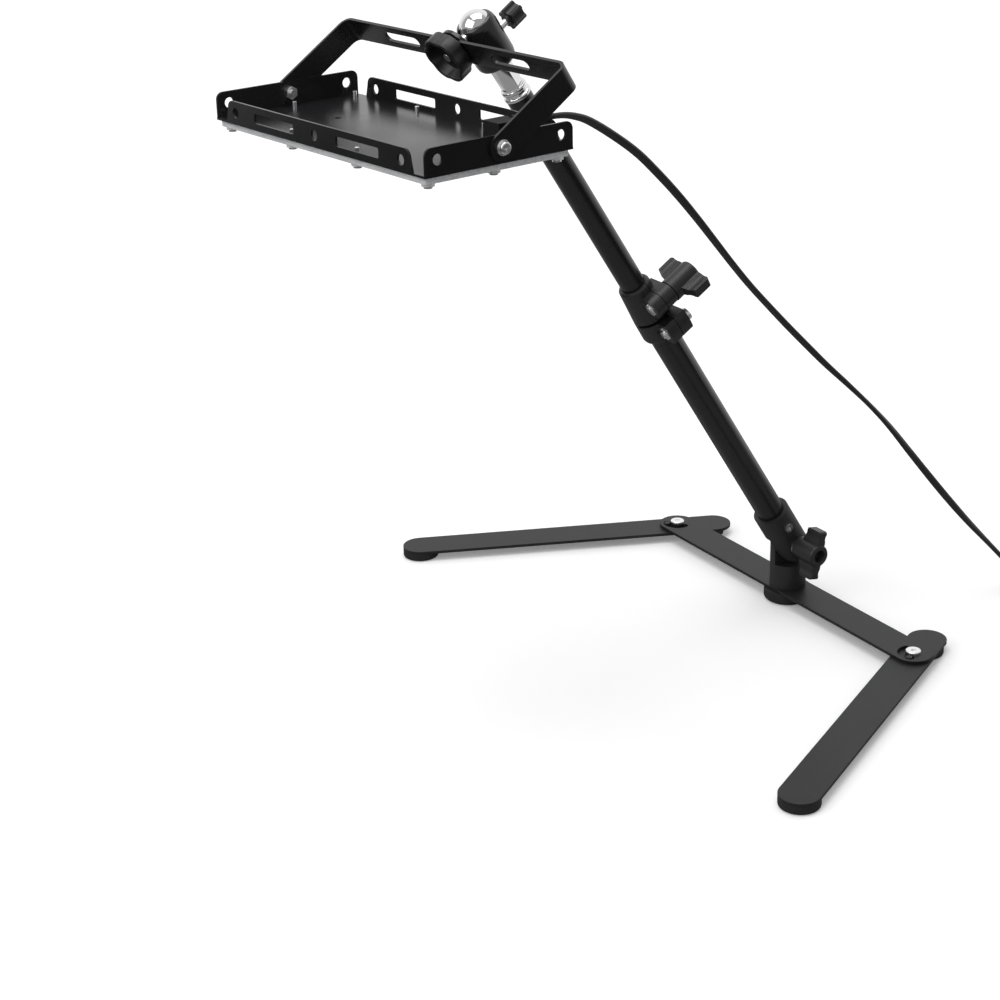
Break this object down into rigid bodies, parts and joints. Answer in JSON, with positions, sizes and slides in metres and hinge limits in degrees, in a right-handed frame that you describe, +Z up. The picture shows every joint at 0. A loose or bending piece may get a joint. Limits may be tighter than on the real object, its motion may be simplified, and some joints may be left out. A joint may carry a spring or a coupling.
{
  "type": "exposure lamp stand",
  "caption": "Ultraviolet flood lamp for screen printing: folded tray in a U strap on a ball head, clamped telescopic post, tilting base with folding arms, and a cord.",
  "frame": {"origin": "on the floor under the middle of the crossbar, at the centre foot's lower face", "axes": "+X along the crossbar to the side of the knobs, -Y the way the lamp reaches out, +Z up"},
  "size_m": [0.5265, 0.6645, 0.5092],
  "materials": {
    "painted_steel": "satin black powder coat",
    "painted_tube": "semi-gloss black",
    "lamp_sheet": "satin black paint",
    "cast_black": "fine textured black",
    "black_anodised": "satin black anodised",
    "black_pin": "black",
    "zinc_steel": "bright zinc",
    "bright_plating": "polished",
    "foot_rubber": "matt",
    "knob_plastic": "satin moulded",
    "collar_plastic": "satin moulded",
    "bush_plastic": "moulded",
    "board_white": "solder mask",
    "led_yellow": "moulded",
    "gasket_rubber": "matt",
    "clear_lens": "clear polished",
    "gland_plastic": "satin moulded",
    "cord_rubber": "satin sheath",
    "pin_brass": "plated"
  },
  "bodies": {
    "base": {"crossbar": "painted_steel", "pivot_screws": "zinc_steel", "pivot_nuts": "zinc_steel", "centre_foot": "foot_rubber", "boss": "cast_black", "boss_screw": "zinc_steel", "tilt_bolt": "zinc_steel", "tilt_washer": "zinc_steel", "cord": "cord_rubber", "cord_coil": "cord_rubber", "cord_tail": "cord_rubber", "plug": "gland_plastic", "plug_pins": "pin_brass"},
    "left_arm": {"left_arm": "painted_steel", "left_arm_feet": "foot_rubber", "left_stop_pin": "black_pin"},
    "right_arm": {"right_arm": "painted_steel", "right_arm_feet": "foot_rubber", "right_stop_pin": "black_pin"},
    "tilt_knob": {"tilt_knob": "knob_plastic"},
    "post": {"tube_socket": "cast_black", "socket_screw": "zinc_steel", "lower_tube": "painted_tube", "collar": "collar_plastic", "collar_screw": "zinc_steel", "collar_screw_nut": "zinc_steel", "collar_bolt_nut": "zinc_steel"},
    "collar_knob": {"collar_knob": "knob_plastic", "collar_bolt": "zinc_steel"},
    "mast": {"upper_tube": "painted_tube", "guide_bush": "bush_plastic", "spigot": "bright_plating"},
    "head": {"ball_housing": "black_anodised", "pressure_pad": "bush_plastic"},
    "lock_knob": {"lock_knob": "knob_plastic", "lock_screw": "zinc_steel"},
    "stem": {"ball_stem": "bright_plating", "platform_disc": "black_anodised"},
    "strap": {"strap": "lamp_sheet"},
    "thumb_wheel": {"thumb_wheel": "knob_plastic"},
    "lamp": {"side_bolts": "zinc_steel", "side_washers": "zinc_steel", "side_nuts": "zinc_steel", "tray": "lamp_sheet", "led_board": "board_white", "leds": "led_yellow", "gasket": "gasket_rubber", "lens_plate": "clear_lens", "lens_screws": "zinc_steel", "cable_gland": "gland_plastic", "strain_relief": "gland_plastic"}
  },
  "joints": [
    {"name": "right_arm_fold", "type": "hinge", "parent": "base", "child": "right_arm", "pos_m": [0.1485, 0, 0], "axis": [0, 0, 1], "range_deg": [-104, 6]},
    {"name": "left_arm_fold", "type": "hinge", "parent": "base", "child": "left_arm", "pos_m": [-0.1485, 0, 0], "axis": [0, 0, 1], "range_deg": [-8.5, 101.5]},
    {"name": "post_tilt", "type": "hinge", "parent": "base", "child": "post", "pos_m": [0, 0, 0.0494], "axis": [1, 0, 0], "range_deg": [-31.8, 28], "deforming": ["cord"]},
    {"name": "tilt_knob_turn", "type": "hinge", "parent": "base", "child": "tilt_knob", "pos_m": [0.0142, 0, 0.0494], "axis": [1, 0, 0], "continuous": true},
    {"name": "telescope", "type": "slide", "parent": "post", "child": "mast", "axis": [0, -0.5278, 0.8493], "range_m": [-0.15, 0.05], "deforming": ["cord"]},
    {"name": "collar_knob_turn", "type": "hinge", "parent": "post", "child": "collar_knob", "pos_m": [0.0166, -0.13171, 0.2888], "axis": [0, 0.8493, 0.5278], "continuous": true},
    {"name": "head_swivel", "type": "hinge", "parent": "mast", "child": "head", "pos_m": [0, -0.27712, 0.4953], "axis": [0, -0.5278, 0.8493], "range_deg": [-170, 170], "deforming": ["cord"]},
    {"name": "lock_knob_turn", "type": "hinge", "parent": "head", "child": "lock_knob", "pos_m": [-0.00187, -0.25485, 0.49501], "axis": [-0.0993, 0.8451, 0.5252], "continuous": true},
    {"name": "ball_tilt", "type": "hinge", "parent": "head", "child": "stem", "pos_m": [0, -0.27712, 0.4953], "axis": [-0.9951, -0.0844, -0.0524], "range_deg": [0, 120], "deforming": ["cord"]},
    {"name": "strap_turn", "type": "hinge", "parent": "stem", "child": "strap", "pos_m": [0.00218, -0.29571, 0.48375], "axis": [0.0993, -0.8451, -0.5252], "range_deg": [-180, 180], "deforming": ["cord"]},
    {"name": "thumb_wheel_turn", "type": "hinge", "parent": "stem", "child": "thumb_wheel", "pos_m": [0.00268, -0.29994, 0.48112], "axis": [0.0993, -0.8451, -0.5252], "continuous": true},
    {"name": "lamp_tilt", "type": "hinge", "parent": "strap", "child": "lamp", "pos_m": [0.00887, -0.35259, 0.4484], "axis": [0.9942, 0.1064, 0.0168], "range_deg": [-115, 8], "deforming": ["cord"]}
  ]
}
